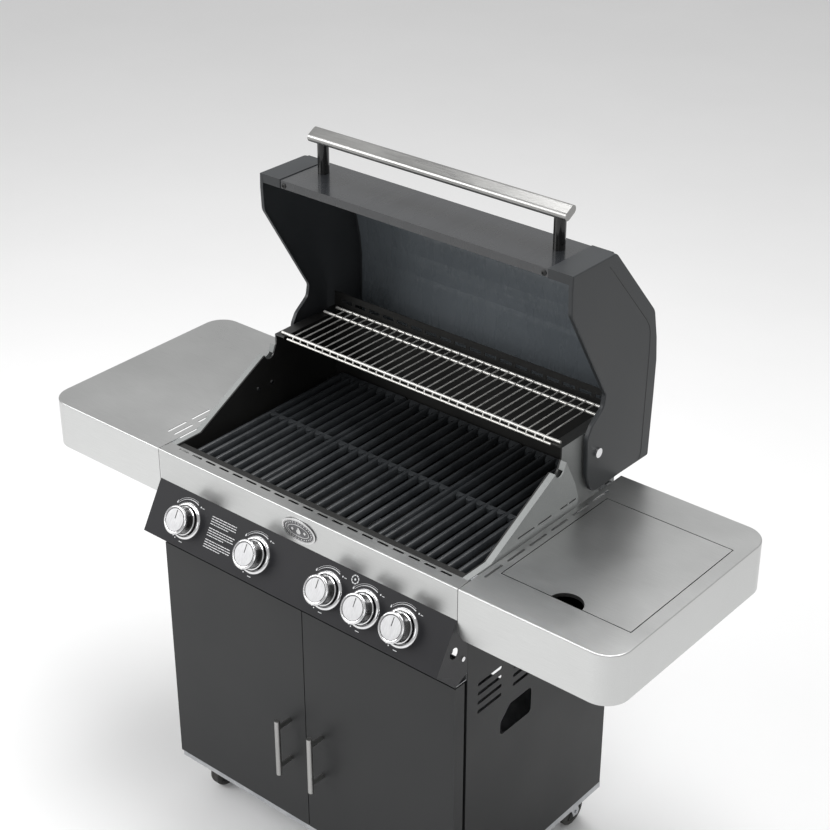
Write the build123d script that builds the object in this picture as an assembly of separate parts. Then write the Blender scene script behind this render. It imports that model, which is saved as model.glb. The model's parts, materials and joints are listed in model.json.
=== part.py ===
from build123d import *
import math
import os

# A four-burner gas barbecue grill on a wheeled cabinet, with two side tables and a side burner.
#
# Working coordinates, in millimetres: X to the right, Y back from the front faces of the side
# tables, Z up from the table tops. Every part is modelled there and moved on export, so that the
# origin is on the floor at the middle of the whole grill. The lid is modelled open, as it rests.

# ---------------------------------------------------------------- driving dimensions
TABLE_HEIGHT = 900.0        # table tops above the floor
MIDDLE_Y = 274.98           # middle of the whole depth, from the front knob to the open lid
SHEET = 1.2                 # thin sheet metal
PLATE = 1.5                 # thicker sheet metal
FIT = 0.05                  # radial clearance of a shaft in its hole

HALF_BODY = 391.0           # half-width of the cabinet, fascia and control panel
TABLE_INNER = 393.0         # a side table's inner edge
TABLE_OUTER = 735.0         # its outer edge
TABLE_DEPTH = 520.0
TABLE_SKIRT = 107.0         # height of its folded skirt
TABLE_CORNER = 50.0         # outer corners, seen from above
FOLD_RADIUS = 2.5           # outside of a fold in visible sheet metal

COVER_X = (422.0, 704.0)    # cover of the side burner
COVER_Y = (92.0, 428.0)
COVER_GAP = 2.0             # round the cover, in the table
COVER_DEPTH = 8.0           # its folded edge
COVER_HINGE = (424.0, -4.0)  # hinge axis, Y and Z
BURNER_WELL_Z = -60.0       # floor of the side burner's well
SIDE_BURNER = (563.0, 260.0)

FASCIA_DROP = 69.0
FASCIA_STRIP = 34.0
PANEL_LENGTH = 115.0        # control panel, down its slope
PANEL_TILT = 30.0           # from the vertical
KNOB_DROP = 58.0            # knob centres below the panel's top edge
KNOB_X = (-290.0, -95.0, 95.0, 190.0, 284.0)
KNOB_RADIUS = 30.0
KNOB_TOP = 37.0             # face of a knob, out from the panel
STEM_RADIUS = 4.0
MANIFOLD = (-7.0, -140.0)   # axis of the gas pipe, Y and Z
MANIFOLD_RADIUS = 8.0
INLET_X = (362.0, 382.0)    # threaded gas inlet at the pipe's right end, behind the cheek's hole
INLET_RADIUS = 8.33
BURNER_X = (-287.0, -95.0, 95.0, 287.0)
BURNER_Z = -125.0
BURNER_RADIUS = 12.7

FIREBOX_HALF = 372.0        # inner faces of the firebox side plates
SIDE_PLATE = 3.5            # their thickness
SIDE_OUTER = 388.5          # outer faces of their lower, doubled part
FIREBOX_BACK = 520.0
RACK_SEAT_Z = 139.5         # top of the side plates, where the warming rack rests
SPIT_NOTCH = (311.0, 103.5, 14.0)  # half-round notch for a spit: Y, Z and radius
RACK_WIRES = 32
RACK_PITCH = 21.2
GRATE_TOP = -13.0
GRATE_BAR = 14.0            # width of a bar
GRATE_HEIGHT = 12.0
GRATE_Y = (54.0, 511.0)
GRATE_WEB_Y = (269.0, 281.0)
GRATE_SPANS = {"left": (-350.0, -157.0, 8), "middle": (-155.0, 155.0, 12), "right": (157.0, 350.0, 8)}

LID_HINGE = (431.0, 92.0)   # Y and Z of the lid's pivots
LID_BOLT_RADIUS = 6.0
LID_HALF = 390.6            # outer faces of the lid's end caps
CAP_DEPTH = 9.0             # depth of an end cap's rim
CAP_SKIN_INNER = 334.0      # the end cap's outer skin reaches in to here
LID_TOP = [(323, 484), (323, 503), (461, 502), (607, 332), (620, 269), (625, 218), (623, 141), (617, 3)]
LID_UNDERSIDE = [(515, 5), (420, 4), (399, 50), (395, 135), (409, 158), (445, 185), (450, 210),
                 (324, 423), (322, 473)]
CAP_CORNERS = [0, 20, 30, 0, 0, 0, 5, 0, 24, 40, 30, 20, 18, 14, 25, 0]  # radii round a cap's outline
HANDLE_CENTRE = (408.0, 579.0)
HANDLE_TILT = 29.7
HANDLE_HALF = 319.0
HANDLE_SECTION = (35.0, 18.0)
POST_X = 294.5
POST_Y = 411.0

CABINET_FRONT = 34.5
CABINET_BACK = 514.0
CABINET_TOP = -104.0
BASE_TOP = -784.8
BASE_BOTTOM = -800.0
DOOR_TOP = -226.0
DOOR_BOTTOM = -782.0
DOOR_PIN = (383.0, 14.0)
DOOR_PIN_RADIUS = 3.0

TRAY_X = 303.0
TRAY_Z = (-216.0, -192.0)
WHEEL_RADIUS = 37.5
WHEEL_WIDTH = 24.0
WHEEL_TRAIL = 30.0
AXLE_RADIUS = 4.0
CASTER_STEM_RADIUS = 5.0
CASTER_AT = {"front_left": (-340, 50), "front_right": (340, 50),
             "rear_left": (-340, 445), "rear_right": (340, 445)}

PANEL = Plane(origin=(0, 0, -FASCIA_DROP), x_dir=(1, 0, 0),
              z_dir=(0, -math.cos(math.radians(PANEL_TILT)), math.sin(math.radians(PANEL_TILT))))


# ---------------------------------------------------------------- helpers
def block(x, y, z):
    """A box between two values on each axis."""
    return Pos(sum(x) / 2, sum(y) / 2, sum(z) / 2) * Box(x[1] - x[0], y[1] - y[0], z[1] - z[0])


def along_x(points, x):
    """An outline in Y and Z, extruded from one X to another."""
    face = make_face(Polyline(*points, close=True))
    return extrude(Plane.YZ.offset(x[0]) * face, amount=x[1] - x[0])


def along_y(points, y):
    """An outline in X and Z, extruded from one Y to another."""
    face = make_face(Polyline(*points, close=True))
    return extrude(Plane.XZ.offset(-y[1]) * face, amount=y[1] - y[0])


def rod_x(radius, y, z, x):
    """A round bar along X."""
    return Pos(sum(x) / 2, y, z) * Rot(0, 90, 0) * Cylinder(radius, x[1] - x[0])


def rod_y(radius, x, z, y):
    """A round bar along Y."""
    return Pos(x, sum(y) / 2, z) * Rot(90, 0, 0) * Cylinder(radius, y[1] - y[0])


def rod_z(radius, x, y, z):
    """A round bar along Z."""
    return Pos(x, y, sum(z) / 2) * Cylinder(radius, z[1] - z[0])


def on_panel(x, drop, out, shape):
    """Place a shape on the control panel, drop down its slope and out from its face."""
    return PANEL.location * Pos(x, -drop, out) * shape


def panel_rod(radius, x, drop, out):
    """A round bar square to the control panel."""
    return on_panel(x, drop, sum(out) / 2, Cylinder(radius, out[1] - out[0]))


def shifted(points, distance):
    """The points of a path moved sideways by a distance, to the left of its direction."""
    normals = []
    for (y0, z0), (y1, z1) in zip(points, points[1:]):
        length = math.hypot(y1 - y0, z1 - z0)
        normals.append(((z0 - z1) / length, (y1 - y0) / length))
    moved = []
    for i, (y, z) in enumerate(points):
        before = normals[max(i - 1, 0)]
        after = normals[min(i, len(normals) - 1)]
        scale = distance / (1 + before[0] * after[0] + before[1] * after[1])
        moved.append((y + scale * (before[0] + after[0]), z + scale * (before[1] + after[1])))
    return moved


def bent_sheet(points, thickness):
    """The closed outline of a bent sheet, with its thickness to the left of the path."""
    return list(points) + shifted(points, thickness)[::-1]


def both_sides(shape):
    """A shape and its mirror image across the middle of the grill."""
    return [shape, mirror(shape, about=Plane.YZ)]


def save(name, shape):
    """Write one node, moved so that the origin is on the floor below the middle."""
    solids = shape if isinstance(shape, list) else [shape]
    parts = [solid for item in solids for solid in item.solids()]
    whole = parts[0] if len(parts) == 1 else Compound(children=parts)
    export_step(Pos(0, -MIDDLE_Y, TABLE_HEIGHT) * whole, "parts/" + name + ".step")


# ---------------------------------------------------------------- cabinet
def cabinet_side_panel():
    """The right side panel: a pan with folded edges, ventilation slots and a hand hole."""
    y = (CABINET_FRONT, CABINET_BACK)
    z = (BASE_TOP, CABINET_TOP)
    fold = 15.0
    pan = block((HALF_BODY - fold, HALF_BODY), y, z)
    pan -= block((HALF_BODY - 2 * fold, HALF_BODY - SHEET), (y[0] + SHEET, y[1] - SHEET),
                 (z[0] + SHEET, z[1] - SHEET))
    for row in range(4):
        for middle in (104.5, 216.5):
            slot = SlotOverall(75, 8)
            slot_face = Plane.YZ.offset(HALF_BODY - 5) * Pos(middle, -256 - 21.7 * row) * slot
            pan -= extrude(slot_face, amount=10)
    hand_hole = fillet(Polygon((142, -424), (242, -424), (242, -362), (172, -362), (142, -392),
                               align=None).vertices(), 10)
    pan -= extrude(Plane.YZ.offset(HALF_BODY - 5) * hand_hole, amount=10)
    return pan


def cabinet_back_panel():
    """The sheet that closes the cabinet's back below the grease tray."""
    back = block((-385, 385), (CABINET_BACK, CABINET_BACK + SHEET), (BASE_TOP, -222))
    return back - block((-120, 120), (CABINET_BACK - 1, CABINET_BACK + 3), (-640, -560))


def cabinet_base():
    """The floor of the cabinet: an upturned pan with four tubes for the casters."""
    y = (3, CABINET_BACK + SHEET)
    base = block((-HALF_BODY, HALF_BODY), y, (BASE_BOTTOM, BASE_TOP))
    base -= block((-HALF_BODY + SHEET, HALF_BODY - SHEET), (y[0] + SHEET, y[1] - SHEET),
                  (BASE_BOTTOM - 1, BASE_TOP - SHEET))
    for x, at_y in CASTER_AT.values():
        base += rod_z(11, x, at_y, (-806, BASE_TOP - SHEET))
    for x, at_y in CASTER_AT.values():
        base -= rod_z(CASTER_STEM_RADIUS + FIT, x, at_y, (-807, BASE_TOP - SHEET))
    return base


def cabinet_front_rail():
    """The angle above the doors, which holds their upper pins."""
    rail = block((-389.5, 389.5), (3, CABINET_FRONT), (-224, -222.5))
    return rail + block((-389.5, 389.5), (CABINET_FRONT - PLATE, CABINET_FRONT), (-224, -190))


def door_hinge_pins():
    """Four short pins on which the doors turn."""
    upper = rod_z(DOOR_PIN_RADIUS, *DOOR_PIN, (-240, -224))
    lower = rod_z(DOOR_PIN_RADIUS, *DOOR_PIN, (BASE_TOP, -768))
    return both_sides(upper) + both_sides(lower)


def door():
    """The right door: a shallow pan open at the back."""
    x = (1.0, HALF_BODY)
    y = (-2.0, 26.0)
    pan = block(x, y, (DOOR_BOTTOM, DOOR_TOP))
    pan -= block((x[0] + SHEET, x[1] - SHEET), (y[0] + SHEET, y[1] + 1),
                 (DOOR_BOTTOM + SHEET, DOOR_TOP - SHEET))
    return pan - rod_z(DOOR_PIN_RADIUS + FIT, *DOOR_PIN, (DOOR_BOTTOM - 5, DOOR_TOP + 5))


def door_handle():
    """The right door's handle: an upright bar on two posts."""
    bar = rod_z(6, 45, -40, (-640, -500))
    for z in (-620, -520):
        bar += rod_y(5, 45, z, (-40, -2))
    return bar


def caster_fork(x, y):
    """A caster's swivelling fork with its stem and its axle."""
    wheel_y = y + WHEEL_TRAIL
    wheel_z = WHEEL_RADIUS - TABLE_HEIGHT
    fork = rod_z(CASTER_STEM_RADIUS, x, y, (-812, -790))
    fork += block((x - 19, x + 19), (y - 19, y + 24), (-814.5, -812))
    side = [(y - 19, -812), (y + 24, -812), (wheel_y + 12, wheel_z), (wheel_y + 8, wheel_z - 10),
            (wheel_y - 8, wheel_z - 10), (wheel_y - 14, wheel_z + 6)]
    for offset in (-19, 16.5):
        fork += along_x(side, (x + offset, x + offset + 2.5))
    return fork + rod_x(AXLE_RADIUS, wheel_y, wheel_z, (x - 21, x + 21))


def caster_wheel(x, y):
    """A caster's wheel, with a rounded tread and a bore for the axle."""
    half = WHEEL_WIDTH / 2
    wheel = fillet(Cylinder(WHEEL_RADIUS, WHEEL_WIDTH).edges(), 4)
    for face in (-half, half):
        wheel -= Pos(0, 0, face) * (Cylinder(27, 6) - Cylinder(11, 6))
    wheel -= Cylinder(AXLE_RADIUS + FIT, WHEEL_WIDTH + 2)
    return Pos(x, y + WHEEL_TRAIL, WHEEL_RADIUS - TABLE_HEIGHT) * Rot(0, 90, 0) * wheel


# ---------------------------------------------------------------- side tables
def table_outline(inset, height):
    """A right table's outline, inset from its edges, as a solid of one height below the top."""
    x = (TABLE_INNER, TABLE_OUTER - inset)
    y = (inset, TABLE_DEPTH - inset)
    slab = block(x, y, (-height, 0))
    corners = slab.edges().filter_by(Axis.Z).group_by(Axis.X)[-1]
    return fillet(corners, TABLE_CORNER - inset)


def table_shell():
    """The right table without openings: a top with a skirt on its three outer sides."""
    shell = table_outline(0, TABLE_SKIRT)
    rim = shell.faces().sort_by(Axis.Z)[-1].edges().sort_by(Axis.X)[1:]
    shell = fillet(rim, FOLD_RADIUS)
    shell -= Pos(0, 0, -SHEET) * table_outline(SHEET, TABLE_SKIRT)
    lower_corner = 18.0
    cutter = block((TABLE_INNER, TABLE_INNER + lower_corner), (-1, TABLE_DEPTH + 1),
                   (-TABLE_SKIRT, -TABLE_SKIRT + lower_corner))
    cutter -= rod_y(lower_corner, TABLE_INNER + lower_corner, -TABLE_SKIRT + lower_corner,
                    (-1, TABLE_DEPTH + 1))
    return shell - cutter


def table_slots(x, count):
    """A row of ventilation slots through a right table's top, near its inner edge."""
    pitch = 68.4
    slot = Rot(0, 0, 90) * SlotOverall(53, 5)
    return [extrude(Pos(x, 87.5 + pitch * i, -5) * slot, amount=10) for i in range(count)]


def left_side_table():
    """The left table, with two rows of slots."""
    table = table_shell()
    for x in (410, 429):
        for slot in table_slots(x, 6):
            table -= slot
    return mirror(table, about=Plane.YZ)


def right_side_table():
    """The right table, with the side burner's opening and one row of slots."""
    table = table_shell()
    for slot in table_slots(406, 6):
        table -= slot
    opening_x = (COVER_X[0] - COVER_GAP, COVER_X[1] + COVER_GAP)
    opening_y = (COVER_Y[0] - COVER_GAP, COVER_Y[1] + COVER_GAP)
    return table - block(opening_x, opening_y, (-5, 5))


def table_brackets():
    """Two square tubes under each table, fixed to the firebox."""
    tubes = []
    for y, inner in ((50, SIDE_OUTER), (480, FIREBOX_HALF + SIDE_PLATE)):
        tube = block((inner, 725), (y - 10, y + 10), (-21.2, -SHEET))
        tube -= block((inner - 1, 726), (y - 8.5, y + 8.5), (-19.7, -SHEET - PLATE))
        tubes += both_sides(tube)
    return tubes


# ---------------------------------------------------------------- side burner
def side_burner_bowl():
    """The well under the cover: walls that hang from the table's opening, and a floor."""
    x = (COVER_X[0] - COVER_GAP, COVER_X[1] + COVER_GAP)
    y = (COVER_Y[0] - COVER_GAP, COVER_Y[1] + COVER_GAP)
    floor = BURNER_WELL_Z
    bowl = block((x[0] - SHEET, x[1] + SHEET), (y[0] - SHEET, y[1] + SHEET), (floor - SHEET, -SHEET))
    bowl -= block(x, y, (floor, 0))
    bowl -= rod_z(12.5, *SIDE_BURNER, (floor - 5, floor + 5))
    return bowl - rod_x(2 + FIT, *COVER_HINGE, (x[0] - 5, x[1] + 5))


def side_burner_head():
    """The side burner: a round head on a bent gas tube."""
    x, y = SIDE_BURNER
    head = rod_z(45, x, y, (-52, -40)) + rod_z(38, x, y, (-40, -34))
    head += rod_z(12, x, y, (-75, -52))
    head += rod_y(11, x, -75, (y - 220, y + 11))
    return head - rod_y(9, x, -75, (y - 221, y - 20))


def side_burner_grid():
    """The pan support: a ring with four arms on legs."""
    x, y = SIDE_BURNER
    grid = rod_z(72, x, y, (-20, -12)) - rod_z(63, x, y, (-21, -11))
    for turn in (45, 135, 225, 315):
        arm = block((26, 118), (-4, 4), (-20, -12)) + block((110, 118), (-4, 4), (BURNER_WELL_Z, -12))
        grid += Pos(x, y, 0) * Rot(0, 0, turn) * arm
    return grid


def side_burner_cover():
    """The flush cover: a shallow pan with a finger notch and two hinge studs."""
    pan = block(COVER_X, COVER_Y, (-COVER_DEPTH, 0))
    pan -= block((COVER_X[0] + SHEET, COVER_X[1] - SHEET), (COVER_Y[0] + SHEET, COVER_Y[1] - SHEET),
                 (-COVER_DEPTH - 1, -SHEET))
    notch_x = 567.0
    notch_y = COVER_Y[0] - 4
    pan += rod_z(34 + SHEET, notch_x, notch_y, (-COVER_DEPTH, 0)) & block(COVER_X, COVER_Y, (-9, 0))
    pan -= rod_z(34, notch_x, notch_y, (-10, 1))
    for x in ((COVER_X[0] - 3, COVER_X[0] + 2), (COVER_X[1] - 2, COVER_X[1] + 3)):
        pan += rod_x(2, *COVER_HINGE, x)
    return pan


# ---------------------------------------------------------------- front
def front_fascia():
    """The stainless front: a strip with slots, a front face and a rear fold."""
    path = [(FASCIA_STRIP, -30), (FASCIA_STRIP, 0), (0, 0), (0, -FASCIA_DROP)]
    fascia = along_x(bent_sheet(path, SHEET), (-HALF_BODY, HALF_BODY))
    front_edges = fascia.edges().filter_by(Axis.X).group_by(Axis.Y)[0]
    fascia = fillet(front_edges.sort_by(Axis.Z)[-1], FOLD_RADIUS)
    pitch = 38.2
    for i in range(19):
        slot = Pos(pitch * (i - 9), 26.5, -5) * SlotOverall(27, 5)
        fascia -= extrude(slot, amount=10)
    return fascia


def control_panel():
    """The sloping panel with its side cheeks and the return below."""
    foot = (-PANEL_LENGTH * math.sin(math.radians(PANEL_TILT)),
            -FASCIA_DROP - PANEL_LENGTH * math.cos(math.radians(PANEL_TILT)))
    path = [(0, -FASCIA_DROP), foot, (-14, -192), (-2, -223)]
    panel = along_x(bent_sheet(path, PLATE), (-HALF_BODY, HALF_BODY))
    cheek = along_x(path + [(FASCIA_STRIP, -205), (FASCIA_STRIP, -FASCIA_DROP)],
                    (HALF_BODY - SHEET, HALF_BODY))
    cheek -= rod_x(12, *MANIFOLD, (HALF_BODY - 5, HALF_BODY + 5))
    for side in both_sides(cheek):
        panel += side
    for x in KNOB_X:
        panel -= panel_rod(6, x, KNOB_DROP, (-5, 5))
    return panel


def badge():
    """A plain oval plate on the fascia."""
    return extrude(Plane.XZ * Pos(0, -37) * Ellipse(44, 25), amount=3)


def knob_bezels():
    """Five rings round the knobs."""
    ring = Cylinder(39, 7) - Cylinder(31.5, 8)
    ring = chamfer(ring.edges().group_by(Axis.Z)[-1], 1.5)
    return [on_panel(x, KNOB_DROP, 3.5, ring) for x in KNOB_X]


def valve_stem(x):
    """The round stem that a knob sits on, which slides into its valve."""
    return panel_rod(STEM_RADIUS, x, KNOB_DROP, (-12, 24))


def knob(x):
    """A round knob with a groove as its pointer."""
    body = Pos(0, 0, (9 + KNOB_TOP) / 2) * Cylinder(KNOB_RADIUS, KNOB_TOP - 9)
    body = chamfer(body.edges().group_by(Axis.Z)[-1], 2)
    body -= Pos(0, 0, 17.5) * Cylinder(STEM_RADIUS + FIT, 19)
    body -= Pos(0, 15, KNOB_TOP) * Box(3, 26, 2)
    return on_panel(x, KNOB_DROP, 0, body)


def valve_bodies():
    """Five gas valves behind the panel, each with a nozzle that points into its burner."""
    valves = []
    for x in KNOB_X:
        valve = panel_rod(11, x, KNOB_DROP, (-19, -1.5))
        valve += panel_rod(5, x, KNOB_DROP + 5, (-25, -19))
        valve += rod_y(4, x, BURNER_Z, (-18, 26))
        valve -= rod_x(MANIFOLD_RADIUS + FIT, *MANIFOLD, (x - 20, x + 20))
        valve -= panel_rod(STEM_RADIUS + FIT, x, KNOB_DROP, (-17, 0))
        valves.append(valve)
    return valves


def gas_manifold():
    """The pipe that feeds the valves, with the gas inlet outside the right cheek."""
    pipe = rod_x(MANIFOLD_RADIUS, *MANIFOLD, (-320, INLET_X[0]))
    pipe += rod_x(INLET_RADIUS, *MANIFOLD, INLET_X)
    return pipe - rod_x(5, *MANIFOLD, (-316, INLET_X[1] + 1))


# ---------------------------------------------------------------- firebox
TUB_PATH = [(35.5, -20), (35.5, -4), (50, -4), (50, -26.5), (72, -26.5), (72, -160), (250, -180),
            (310, -180), (488, -160), (488, -26.5), (FIREBOX_BACK, -26.5), (FIREBOX_BACK, 175)]


def firebox_tub():
    """The trough that holds the burners, with the rear wall, a drain and the tray's rails."""
    tub = along_x(bent_sheet(TUB_PATH, PLATE), (-FIREBOX_HALF, FIREBOX_HALF))
    for x in BURNER_X:
        tub -= rod_y(BURNER_RADIUS + 0.5, x, BURNER_Z, (30, 80))
    tub -= block((-60, 60), (255, 305), (-185, -175))
    for i in range(18):
        tub -= block((-352 + 39.6 * i, -322 + 39.6 * i), (515, 525), (152, 160))
    rail = block((TRAY_X + 1, TRAY_X + 1 + PLATE), (66, 505), (-218, -165))
    rail += block((TRAY_X - 14, TRAY_X + 1 + PLATE), (66, 505), (-218, -216.5))
    for side in both_sides(rail):
        tub += side - block((-400, 400), (0, 600), (-159, -100))
    return tub


def firebox_side():
    """The right side plate: a tall inner wall, doubled below by an outer wall with a top flange."""
    wall = (FIREBOX_HALF, FIREBOX_HALF + SIDE_PLATE)
    slope = [(34, 0), (102, 0), (296, 102), (325, 100), (331, 114)]
    plate = along_x([(34, -185)] + slope + [(333, 114), (333, RACK_SEAT_Z), (FIREBOX_BACK, RACK_SEAT_Z),
                                            (FIREBOX_BACK, -185)], wall)
    outer = [(34, -200)] + slope + [(363, 54), (375, 20), (375, -200)]
    side = along_x(outer, (wall[1], SIDE_OUTER))
    side -= along_x(shifted(outer, -2.5), (wall[1], SIDE_OUTER - 2.5))
    plate += side & block((0, 400), (0, 400), (CABINET_TOP, 200))
    plate += block((350, wall[1]), (333, FIREBOX_BACK - PLATE), (RACK_SEAT_Z - 2.5, RACK_SEAT_Z))
    for y, length in ((209, 52), (268, 42), (329, 24), (358, 22)):
        plate -= block((380, 395), (y - length / 2, y + length / 2), (13, 17))
    y, z, radius = SPIT_NOTCH
    plate -= rod_x(radius, y, z, (370, 390))
    return plate - rod_x(LID_BOLT_RADIUS, *LID_HINGE, (370, 390))


def main_burners():
    """Four round burner tubes, closed at the back."""
    tubes = []
    for x in BURNER_X:
        tube = rod_y(BURNER_RADIUS, x, BURNER_Z, (22, 480))
        tubes.append(tube - rod_y(BURNER_RADIUS - PLATE, x, BURNER_Z, (20, 478)))
    return tubes


def flame_tamers():
    """Four roof-shaped sheets over the burners."""
    roof = [(-55, -100), (0, -72), (55, -100)]
    outline = bent_sheet(roof, -SHEET)
    return [along_y([(x + dx, z) for dx, z in outline], (74, 486)) for x in BURNER_X]


def igniters():
    """A spark rod beside each burner."""
    return [rod_y(3, x + 22, BURNER_Z + 8, (73.5, 112)) for x in BURNER_X]


def grate(span):
    """A cast grate of bars from front to back, with two low end bars and a middle web."""
    x0, x1, bars = span
    bottom = GRATE_TOP - GRATE_HEIGHT
    pitch = (x1 - x0 - GRATE_BAR) / (bars - 1)
    casting = block((x0, x1), (GRATE_Y[0], GRATE_Y[0] + 8), (bottom, GRATE_TOP - 4))
    casting += block((x0, x1), (GRATE_Y[1] - 12, GRATE_Y[1]), (bottom, GRATE_TOP - 1))
    casting += block((x0, x1), GRATE_WEB_Y, (bottom, GRATE_TOP - 1))
    for i in range(bars):
        left = x0 + pitch * i
        casting += block((left, left + GRATE_BAR), GRATE_Y, (bottom, GRATE_TOP))
    return casting


def warming_rack():
    """The upper rack of welded wire, with a lower rail along its front."""
    rail_z = RACK_SEAT_Z + 3.5
    rack = rod_x(3, 344.5, rail_z, (-364, 364))
    rack += rod_x(3, 475, rail_z, (-364, 364))
    rack += rod_x(3, 507, rail_z, (-356, 356))
    rack += rod_x(2.5, 339, rail_z - 9, (-345, 345))
    for i in range(RACK_WIRES):
        x = RACK_PITCH * (i - (RACK_WIRES - 1) / 2)
        rack += rod_y(1.6, x, rail_z, (344.5, 507))
        rack += block((x - 1.4, x + 1.4), (337.5, 341.5), (rail_z - 9, rail_z + 1))
        rack += block((x - 1.4, x + 1.4), (338.5, 346), (rail_z - 1, rail_z + 1.5))
    return rack


# ---------------------------------------------------------------- lid
def lid_shell():
    """The lid's bent sheet between the end caps."""
    skin = shifted(LID_TOP, -1.6)
    return along_x(bent_sheet(skin, -PLATE), (-(LID_HALF - CAP_DEPTH), LID_HALF - CAP_DEPTH))


def lid_cap():
    """The right end cap: a shallow rim, an end wall and a skin that laps over the shell."""
    corners = LID_TOP[1:] + LID_UNDERSIDE
    outline = make_face(FilletPolyline(*corners, radius=CAP_CORNERS, close=True))
    rim_x = LID_HALF - CAP_DEPTH
    cap = extrude(Plane.YZ.offset(rim_x) * outline, amount=CAP_DEPTH)
    cap = fillet(cap.faces().sort_by(Axis.X)[-1].edges(), FOLD_RADIUS)
    inside = offset(outline, -PLATE)
    cap -= extrude(Plane.YZ.offset(rim_x - 1) * inside, amount=CAP_DEPTH + 1 - SHEET)
    cap += along_x(bent_sheet(LID_TOP, -1.6), (CAP_SKIN_INNER, rim_x))
    return cap - rod_x(LID_BOLT_RADIUS + FIT, *LID_HINGE, (360, 400))


def handle_bar_solid():
    """The handle's flat-oval bar."""
    section = Plane.YZ.offset(-HANDLE_HALF) * Pos(*HANDLE_CENTRE) * Rot(0, 0, HANDLE_TILT)
    return extrude(section * SlotOverall(*HANDLE_SECTION), amount=2 * HANDLE_HALF)


def lid_handle_posts():
    """Two posts between the lid and the handle's bar."""
    post = rod_z(12, POST_X, POST_Y, (501.1, 577)) - handle_bar_solid()
    post = post.solids().sort_by(Axis.Z)[0]
    return both_sides(post)


def lid_screws():
    """Round-headed screws on the lid's front fold."""
    return both_sides(rod_y(6, 324, 491, (322, 324.6)))


def lid_hinge_bolts():
    """Two shouldered bolts on which the lid turns."""
    y, z = LID_HINGE
    bolt = rod_x(LID_BOLT_RADIUS, y, z, (FIREBOX_HALF, LID_HALF + 0.4))
    bolt += rod_x(10, y, z, (LID_HALF + 0.4, LID_HALF + 5))
    bolt += rod_x(9, y, z, (FIREBOX_HALF + SIDE_PLATE, LID_HALF - SHEET - 1))
    return both_sides(bolt)


# ---------------------------------------------------------------- tray and fasteners
def grease_tray():
    """The tray under the drain, with a lip at the back to pull it by."""
    tray = block((-TRAY_X, TRAY_X), (66, 508), TRAY_Z)
    tray -= block((-TRAY_X + SHEET, TRAY_X - SHEET), (66 + SHEET, 508 - SHEET), (TRAY_Z[0] + SHEET, 0))
    return tray + block((-80, 80), (507, 530), (TRAY_Z[1] - SHEET, TRAY_Z[1]))


def cabinet_screws():
    """Round-headed screws in the panel cheeks, the side plates, the tables and the back."""
    head = 1.6
    screws = both_sides(rod_x(5, 20, -167, (HALF_BODY, HALF_BODY + head)))
    for y in (274, 315):
        screws += both_sides(rod_x(4, y, 32, (FIREBOX_HALF - head, FIREBOX_HALF)))
    for z in (-260, -500, -740):
        screws += both_sides(rod_y(4, 378, z, (CABINET_BACK + SHEET, CABINET_BACK + SHEET + head)))
    return screws


# ---------------------------------------------------------------- all nodes
def main():
    os.makedirs("parts", exist_ok=True)
    panel = cabinet_side_panel()
    save("cabinet_right_panel", panel)
    save("cabinet_left_panel", mirror(panel, about=Plane.YZ))
    save("cabinet_back_panel", cabinet_back_panel())
    save("cabinet_base", cabinet_base())
    save("cabinet_front_rail", cabinet_front_rail())
    save("door_hinge_pins", door_hinge_pins())
    save("right_door", door())
    save("left_door", mirror(door(), about=Plane.YZ))
    save("right_door_handle", door_handle())
    save("left_door_handle", mirror(door_handle(), about=Plane.YZ))
    for name, at in CASTER_AT.items():
        save("caster_fork_" + name, caster_fork(*at))
        save("caster_wheel_" + name, caster_wheel(*at))
    save("left_side_table", left_side_table())
    save("right_side_table", right_side_table())
    save("table_brackets", table_brackets())
    save("side_burner_bowl", side_burner_bowl())
    save("side_burner_head", side_burner_head())
    save("side_burner_grid", side_burner_grid())
    save("side_burner_cover", side_burner_cover())
    save("front_fascia", front_fascia())
    save("control_panel", control_panel())
    save("badge", badge())
    save("knob_bezels", knob_bezels())
    for number, x in enumerate(KNOB_X, start=1):
        save(f"valve_stem_{number}", valve_stem(x))
        save(f"knob_{number}", knob(x))
    save("valve_bodies", valve_bodies())
    save("gas_manifold", gas_manifold())
    save("firebox_tub", firebox_tub())
    side = firebox_side()
    save("firebox_right_side", side)
    save("firebox_left_side", mirror(side, about=Plane.YZ))
    save("main_burners", main_burners())
    save("flame_tamers", flame_tamers())
    save("igniters", igniters())
    for name, span in GRATE_SPANS.items():
        save("grate_" + name, grate(span))
    save("warming_rack", warming_rack())
    save("lid_shell", lid_shell())
    cap = lid_cap()
    save("lid_right_cap", cap)
    save("lid_left_cap", mirror(cap, about=Plane.YZ))
    save("lid_handle_bar", handle_bar_solid())
    save("lid_handle_posts", lid_handle_posts())
    save("lid_screws", lid_screws())
    save("lid_hinge_bolts", lid_hinge_bolts())
    save("grease_tray", grease_tray())
    save("cabinet_screws", cabinet_screws())


main()
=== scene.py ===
import json
import math
import random

import bmesh
import bpy
from mathutils import Matrix, Vector


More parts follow.
